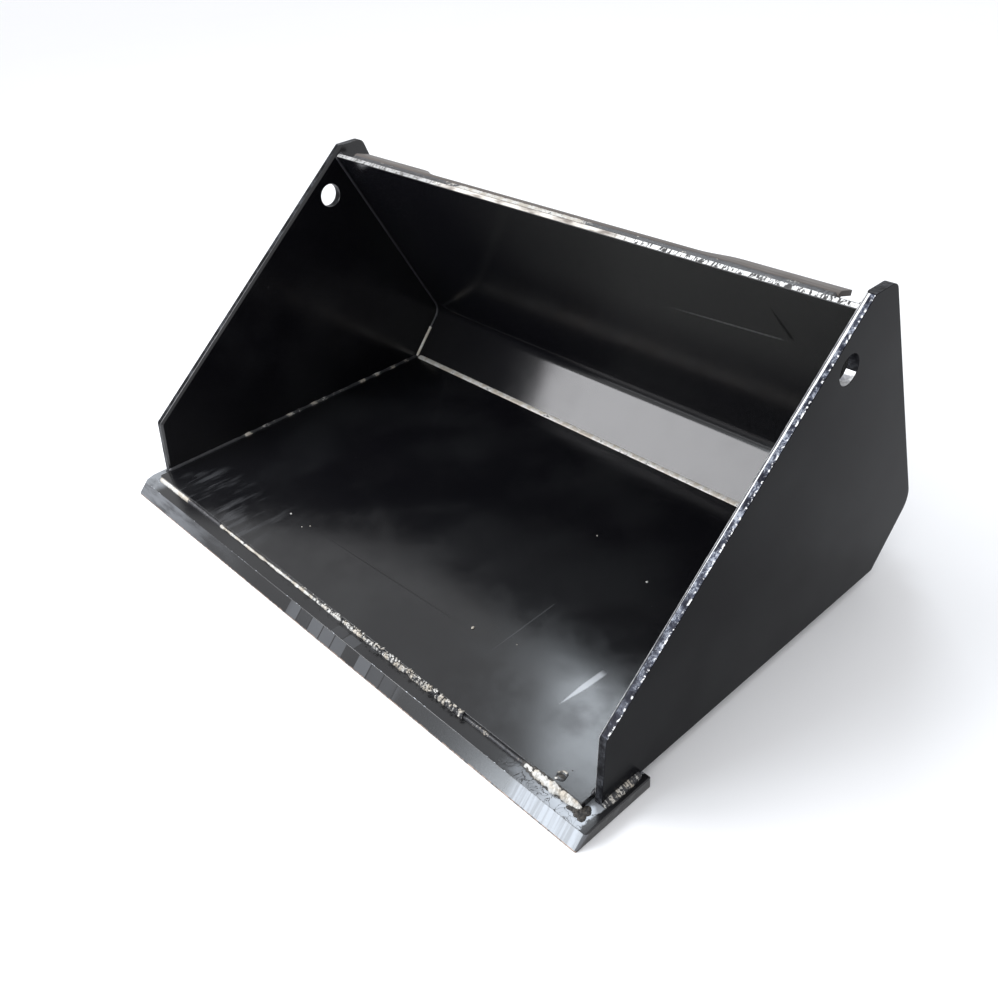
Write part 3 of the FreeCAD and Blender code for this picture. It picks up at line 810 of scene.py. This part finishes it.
# ---- Weld beads ----
# MIG fillets along every seam: rippled, a little uneven, sunk into both plates, and painted
# over. Where the paint missed or burnt off, bare metal and slag show; on the floor-to-heel run
# and the middle of the rim fill, the bare metal paints a highlight. The front seam comes first.

RIPPLE = 0.0030          # distance between ripples
RIPPLE_RISE = 0.00032    # height of one
RIPPLE_BOW = 0.0016      # how far its middle trails behind its ends
BEAD_ROUND = 9           # points across a bead
BEAD_SINK = 0.0005       # how far a bead goes into its plates
BEAD_TAPER = 0.006       # length of a run's fading end


def weld_metal(name):
    """Painted weld, bared where the mesh says so in the attribute "bare"."""
    made, tree, shader, place = material(name)
    bare = put(tree, "ShaderNodeAttribute", attribute_name="bare").outputs["Fac"]
    fine = grain(tree, place, 300.0, detail=4.0, roughness=0.7)
    drift = grain(tree, place, 60.0, detail=3.0)
    mix = total(tree, product(tree, fine, 0.6), product(tree, drift, 0.4))
    shown = ramp(tree, total(tree, mix, product(tree, bare, 0.4)), 0.68, 0.74)
    paint = blend(tree, drift, (0.008, 0.008, 0.010, 1), (0.028, 0.028, 0.032, 1))
    steel = blend(tree, ramp(tree, drift, 0.40, 0.62), (0.60, 0.59, 0.56, 1), (0.42, 0.38, 0.32, 1))
    join(tree, blend(tree, shown, paint, steel), shader, "Base Color")
    join(tree, product(tree, shown, 0.2), shader, "Metallic")
    join(tree, total(tree, product(tree, fine, 0.35), 0.15), shader, "Roughness")
    emboss(tree, shader, fine, strength=0.8, distance=0.0008)
    return made


WELD = weld_metal("weld_metal")


def straight_runs(node):
    """The straight fillets in a weld node, each as two ends of (corner, toe, heel)."""
    shape = solid_of(node)
    runs = []
    taken = set()
    for face in shape.faces:
        if len(face.verts) != 3 or face.verts[0] in taken:
            continue
        loop = list(face.verts)
        sides = [(loop[i - 1].co - loop[i - 2].co).length for i in range(3)]
        first = sides.index(max(sides))
        start = [loop[first], loop[first - 1], loop[first - 2]]
        finish = []
        for vert in start:
            far = [e.other_vert(vert) for e in vert.link_edges if e.other_vert(vert) not in loop]
            finish.append(far[0])
        taken.update(start + finish)
        runs.append(([v.co.copy() for v in start], [v.co.copy() for v in finish]))
    shape.free()
    return runs


def stations_along(start, finish, step):
    """Even stations between a straight run's two ends."""
    length = (finish[0] - start[0]).length
    count = max(6, round(length / step))
    return [[a.lerp(b, i / count) for a, b in zip(start, finish)] for i in range(count + 1)]


def plain_style(along, corner):
    """A bead's size, roughness and bare share at one station: here a plain painted run."""
    return dict(size=1.0, lumps=0.0, bare=0.0)


def lay_bead(shape, stations, seed, style=plain_style, ripple=RIPPLE, wobble=0.10, swell=0.22):
    """A closed bead through stations of (corner, toe, heel), rippled along its length."""
    bare_layer = shape.verts.layers.float.get("bare") or shape.verts.layers.float.new("bare")
    lengths = [0.0]
    for before, after in zip(stations, stations[1:]):
        lengths.append(lengths[-1] + (after[0] - before[0]).length)
    rings = []
    for (corner, toe, heel), along in zip(stations, lengths):
        look = style(along / lengths[-1], corner)
        wave = noise.noise(Vector((along * 70.0, seed, 0.0)))
        wave += noise.noise(Vector((along * 240.0, seed, 5.0))) * 0.6
        size = look["size"] * (1.0 + wobble * wave)
        end = min(along, lengths[-1] - along)
        size *= 0.45 + 0.55 * math.sqrt(min(1.0, end / BEAD_TAPER))
        leg_one = toe - corner
        leg_two = heel - corner
        into_one = -leg_two.normalized() * BEAD_SINK
        into_two = -leg_one.normalized() * BEAD_SINK
        outward = (leg_one + leg_two).normalized()
        reach = (leg_one.length + leg_two.length) / 2 * size
        ring = [shape.verts.new(corner + into_one + into_two)]
        for step in range(BEAD_ROUND):
            u = step / (BEAD_ROUND - 1)
            hump = 4 * u * (1 - u)
            point = corner + leg_one * size * (1 - u) + leg_two * size * u
            point += into_one * (1 - u) ** 4 + into_two * u ** 4
            phase = (along + RIPPLE_BOW * hump + 0.0005 * wave) / ripple
            rise = swell * reach * hump + RIPPLE_RISE * abs(math.sin(math.pi * phase)) * min(1.0, hump * 2)
            if look["lumps"]:
                rough = noise.noise(point * 260.0) + 0.6 * noise.noise(point * 610.0)
                rise += look["lumps"] * rough * min(1.0, hump * 3)
            point += outward * rise
            vert = shape.verts.new(point)
            vert[bare_layer] = look["bare"]
            ring.append(vert)
        rings.append(ring)
    for before, after in zip(rings, rings[1:]):
        for i in range(len(before)):
            shape.faces.new((before[i - 1], before[i], after[i], after[i - 1]))
    shape.faces.new(rings[0])
    shape.faces.new(rings[-1])


def weld_seam(node, style=plain_style, step=0.0016, **settings):
    """Every straight run of a weld node as one rippled piece."""
    shape = bmesh.new()
    for number, (start, finish) in enumerate(straight_runs(node)):
        lay_bead(shape, stations_along(start, finish, step), number * 3.7 + len(node), style, **settings)
    settle(shape, f"{node}_bead", [node], "weld", WELD)


FINE = 0.0009            # station spacing on the seams that show

# Floor to cutting edge: a smooth stretch, a thin one, a long rough one, a thin clean one and a
# burnt lump at the right end. Each ends at a share of the seam's length.
SMOOTH_END = 0.10
THIN_END = 0.205
ROUGH_END = 0.80
CLEAN_END = 0.91


def share(value, low, high):
    return min(1.0, max(0.0, (value - low) / (high - low)))


def beat(place, scale, seed):
    """Slow noise along a seam, about 0."""
    return noise.noise(Vector((place * scale, seed, 0.0)))


def front_style(along, corner):
    """The front seam's stretches, by distance from its left end in shares of its length."""
    low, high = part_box("weld_edge_front")
    x = (corner.x - low[0]) / (high[0] - low[0])
    if x < SMOOTH_END:
        return dict(size=0.62, lumps=0.0002, bare=0.80)
    if x < THIN_END:
        return dict(size=0.50, lumps=0.0002, bare=0.10)
    if x < ROUGH_END:
        slow = beat(x, 60.0, 2.0)
        grow = share(x, 0.42, 0.72)
        return dict(size=0.32 + 0.34 * grow + 0.24 * slow, lumps=0.0010 + 0.0010 * grow,
                    bare=0.74 - 0.30 * grow + 0.42 * beat(x, 240.0, 4.0) + 0.15 * slow * grow)
    if x < CLEAN_END:
        return dict(size=0.42, lumps=0.0, bare=0.30)
    grow = math.sin(math.pi * share(x, 0.905, 1.01))
    return dict(size=0.46 + 0.60 * grow + 0.20 * beat(x, 110.0, 6.0), lumps=0.0016, bare=0.95)


weld_seam("weld_edge_front", front_style, FINE, wobble=0.22)

# ---- Spatter ----
# What the welder's torch threw off, all one piece: the burnt end's slag, a blow hole beside it,
# loose crumbs along the rough stretch, and a few balls stuck to the floor plate.

CRUMB_FACES = 2          # how finely a crumb's ball is divided


def crumb(shape, spot, size, rng, flat=1.0):
    """An uneven ball of spatter, sunk a little into what it sticks to."""
    made = bmesh.ops.create_icosphere(shape, subdivisions=CRUMB_FACES, radius=size / 2)["verts"]
    offset = Vector([rng.random() * 9 for _ in range(3)])
    stretch = Vector((rng.uniform(0.7, 1.6), rng.uniform(0.7, 1.2), rng.uniform(0.6, 1.0) * flat))
    turn = Matrix.Rotation(rng.uniform(0, math.pi), 3, "Z")
    layer = shape.verts.layers.float.get("bare")
    for vert in made:
        rough = 1.0 + 0.35 * noise.noise(vert.co / size * 1.7 + offset)
        vert.co = spot + turn @ Vector((c * s for c, s in zip(vert.co * rough, stretch)))
        vert[layer] = 0.85


def scorched(name):
    """Slag and burnt paint: brown-black, blistered."""
    made, tree, shader, place = material(name)
    fine = grain(tree, place, 340.0, detail=4.0, roughness=0.7)
    colour = blend(tree, ramp(tree, fine, 0.40, 0.70), (0.005, 0.0045, 0.004, 1), (0.085, 0.074, 0.062, 1))
    join(tree, colour, shader, "Base Color")
    join(tree, total(tree, product(tree, fine, 0.4), 0.3), shader, "Roughness")
    emboss(tree, shader, fine, strength=0.8, distance=0.0010)
    return made


rng = random.Random(8)
shape = bmesh.new()
bare_layer = shape.verts.layers.float.new("bare")
low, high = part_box("weld_edge_front")

# The burnt end: blistered paint around the last lump, and slag in the corner by the plate.
BURNT_START = 0.895      # as a share of the seam
BURNT_STATIONS = 110
SLAG_LUMPS = 20


def scorch_style(along, corner):
    """Wide over the lump and ragged, fading at both ends."""
    swell = math.sin(math.pi * share(along, -0.1, 1.15))
    return dict(size=1.26 * swell + 0.30 * beat(corner.x, 190.0, 9.0), lumps=0.0006, bare=0.0)


(start, finish), = straight_runs("weld_edge_front")
if start[0].x > finish[0].x:
    start, finish = finish, start
burnt = []
for i in range(BURNT_STATIONS + 1):
    part = BURNT_START + (1 - BURNT_START) * i / BURNT_STATIONS
    burnt.append([a.lerp(b, part) for a, b in zip(start, finish)])
lay_bead(shape, burnt, 31.0, scorch_style, swell=-0.16, wobble=0.05)
corner_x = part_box("side_plate_right")[0][0]
for _ in range(SLAG_LUMPS):
    spot = Vector((corner_x + rng.uniform(-0.012, 0.012), low[1] + rng.uniform(-0.002, 0.013), low[2]))
    crumb(shape, spot, rng.uniform(0.007, 0.013), rng, flat=0.38)
for face in shape.faces:
    face.material_index = 1

# A blow hole in the floor plate by that lump: a black pit in a bright ring.
PIT_SHARE = 0.957        # across the floor plate
PIT_SETBACK = 0.0145     # from the floor plate's front edge
PIT_RADIUS = 0.0074
RING_THICK = 0.0015
PIT_POINTS = 26
TUBE_POINTS = 8
low_floor, high_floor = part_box("floor_plate")
pit_x = low_floor[0] + (high_floor[0] - low_floor[0]) * PIT_SHARE
pit = Vector((pit_x, low_floor[1] + PIT_SETBACK, high_floor[2]))
ring = []
for i in range(PIT_POINTS):
    angle = 2 * math.pi * i / PIT_POINTS
    wild = noise.noise(Vector((math.cos(angle) * 1.3, math.sin(angle) * 1.3, 6.0)))
    thick = RING_THICK * (1.0 + 0.9 * wild)
    away = Vector((math.cos(angle), math.sin(angle), 0))
    tube = []
    for k in range(TUBE_POINTS):
        turn = 2 * math.pi * k / TUBE_POINTS
        spot = pit + away * (PIT_RADIUS * (1 + 0.25 * wild) + thick * math.cos(turn))
        spot.z += thick * 0.7 * math.sin(turn)
        vert = shape.verts.new(spot)
        vert[bare_layer] = 0.45 + 0.5 * wild
        tube.append(vert)
    ring.append(tube)
for i in range(PIT_POINTS):
    for k in range(TUBE_POINTS):
        shape.faces.new((ring[i - 1][k - 1], ring[i][k - 1], ring[i][k], ring[i - 1][k]))
before = set(shape.faces)
crumb(shape, pit + Vector((0, 0, -0.0012)), PIT_RADIUS * 1.9, rng, flat=0.35)
crumb(shape, pit + Vector((0.004, 0.0165, -0.0004)), 0.0030, rng, flat=0.4)
for face in shape.faces:
    if face not in before:
        face.material_index = 1

# Crumbs on the front seam, more of them towards its right end, and the balls on the floor.
CRUMBS = 150
for _ in range(CRUMBS):
    u = 0.26 + 0.54 * rng.random() ** 0.32
    aside = rng.gauss(0.0, 0.0010 + 0.0012 * u)
    x = low[0] + (high[0] - low[0]) * u
    level = high[2] - 0.0015 + 0.0035 * (1 - abs(aside) / 0.006)
    size = rng.uniform(0.0012, 0.0020 + 0.0026 * u)
    crumb(shape, Vector((x, (low[1] + high[1]) / 2 + 0.002 + aside, level)), size, rng)
for u, v, size in ((0.274, 0.155, 0.0036), (0.318, 0.141, 0.0026), (0.326, 0.159, 0.0022),
                   (0.694, 0.189, 0.0042), (0.680, 0.645, 0.0034), (0.805, 0.589, 0.0032),
                   (0.762, 0.220, 0.0016)):
    spot = across_plate("floor_plate", u, v).to_3d()
    spot.z = high_floor[2] + size * 0.2
    crumb(shape, spot, size, rng, flat=0.7)
spatter = bpy.data.meshes.new("weld_spatter")
shape.to_mesh(spatter)
shape.free()
spatter.materials.append(WELD)
spatter.materials.append(scorched("scorched_slag"))
spatter.polygons.foreach_set("use_smooth", [True] * len(spatter.polygons))
spatter = link("weld_spatter", spatter)
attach(spatter, "root")

# ---- Seams of the bowl ----
# The floor and the folded sheet are welded to the side plates and to each other along every
# inner corner. The runs are thinner than the front one, and bare where heat lifted the paint;
# along the floor to the heel, the bare metal paints a highlight line.


def side_style(along, corner):
    """Floor to side plate: smooth at the front, then rough with bare flecks."""
    low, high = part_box("weld_floor_side_left")
    y = (corner.y - low[1]) / (high[1] - low[1])
    if y < 0.25:
        return dict(size=0.60, lumps=0.0001, bare=0.0)
    slow = beat(y, 30.0, 7.0)
    return dict(size=0.54 + 0.14 * slow, lumps=0.0009, bare=0.34 + 0.60 * slow)


for hand in ("left", "right"):
    weld_seam(f"weld_floor_side_{hand}", side_style, FINE, wobble=0.16)


def heel_style(along, corner):
    """Floor to heel: narrow and smooth, with a high bare share that paints a bright highlight line along the
    seam.
    """
    return dict(size=0.72, lumps=0.0, bare=0.78)


weld_seam("weld_floor_heel", heel_style, FINE, wobble=0.05, swell=0.12)

# Back sheet to side plate: one run up the heel, round the fold and up the back.


def curved_stations(node, step):
    """Stations of the fillet that follows the folded sheet, from the CAD seam's own corners."""
    shape = solid_of(node)
    plate = max((v.co.x for v in shape.verts), key=abs)
    size = max(abs(v.co.x - plate) for v in shape.verts)
    far = plate - math.copysign(size, plate)
    line = sorted({(round(v.co.z, 5), round(v.co.y, 5)) for v in shape.verts if abs(v.co.x - far) < 1e-5})
    shape.free()
    points = [Vector((far, y, z)) for z, y in line]
    lengths = [0.0]
    for before, after in zip(points, points[1:]):
        lengths.append(lengths[-1] + (after - before).length)
    count = round(lengths[-1] / step)
    stations = []
    for i in range(count + 1):
        along = lengths[-1] * i / count
        k = max(j for j in range(len(points) - 1) if lengths[j] <= along + 1e-9)
        part = (along - lengths[k]) / (lengths[k + 1] - lengths[k])
        spot = points[k].lerp(points[k + 1], min(1.0, part))
        near = max(0, k - 1) if part < 0.5 else k
        ahead = min(len(points) - 1, near + 2)
        run = points[ahead] - points[near]
        up = Vector((0, -run.z, run.y)).normalized()
        corner = Vector((plate, spot.y, spot.z))
        stations.append([corner, spot.copy(), corner + up * size])
    return stations


def back_style(along, corner):
    """Bright up the heel, painted above it."""
    if along < 0.13:
        return dict(size=0.50, lumps=0.0002, bare=0.75)
    return dict(size=0.36, lumps=0.0, bare=0.0)


for hand in ("left", "right"):
    node = f"weld_back_side_{hand}"
    shape = bmesh.new()
    lay_bead(shape, curved_stations(node, FINE), 11.0, back_style, swell=0.10)
    settle(shape, f"{node}_bead", [node], "weld", WELD)

# ---- Seams outside the bowl ----
# A wide fill joins the back sheet's top edge to the hook lip. Plainer runs hold the cutting
# edge's ends, the attach plate, its flange and ribs, and the wear bars.


def rim_style(along, corner):
    """Patchily bare, and barest in the middle, where the pale metal paints a highlight along the fill."""
    middle = share(along, 0.24, 0.30) * share(along, 0.62, 0.56)
    return dict(size=0.90, lumps=0.0004, bare=0.20 + 0.55 * middle + 0.45 * beat(along, 40.0, 3.0))


low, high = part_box("weld_hook_rim")
section = [v.co.copy() for v in frame["nodes"]["weld_hook_rim"].data.vertices]
foot = min(section, key=lambda p: p.z)
front = min(section, key=lambda p: p.y)
crest = max(section, key=lambda p: p.y)
left, right = ([Vector((x, p.y, p.z)) for p in (foot, front, crest)] for x in (low[0], high[0]))
shape = bmesh.new()
lay_bead(shape, stations_along(left, right, FINE), 21.0, rim_style, swell=0.03, wobble=0.06)
settle(shape, "weld_hook_rim_bead", ["weld_hook_rim"], "weld", WELD)


def outer_style(along, corner):
    """The side plate's foot to the cutting edge: rough, with bare flecks."""
    slow = noise.noise(Vector((along * 30.0, corner.z * 40.0, 0.0)))
    return dict(size=0.85, lumps=0.0009, bare=0.42 + 0.5 * slow)


for hand in ("left", "right"):
    weld_seam(f"weld_edge_side_{hand}", outer_style, FINE, wobble=0.25)

COARSE_RIPPLE = 0.0042   # on the plain runs behind the bowl and under it
hidden = ["weld_edge_rear", "weld_wear_bars", "weld_attach_foot", "weld_flange_top",
          "weld_flange_under", "weld_flange_ribs", "weld_slot_pads"]
hidden += [f"weld_{name}_{hand}" for name in ("back_ear", "attach_end") for hand in ("left", "right")]
for node in hidden:
    weld_seam(node, ripple=COARSE_RIPPLE, wobble=0.12)
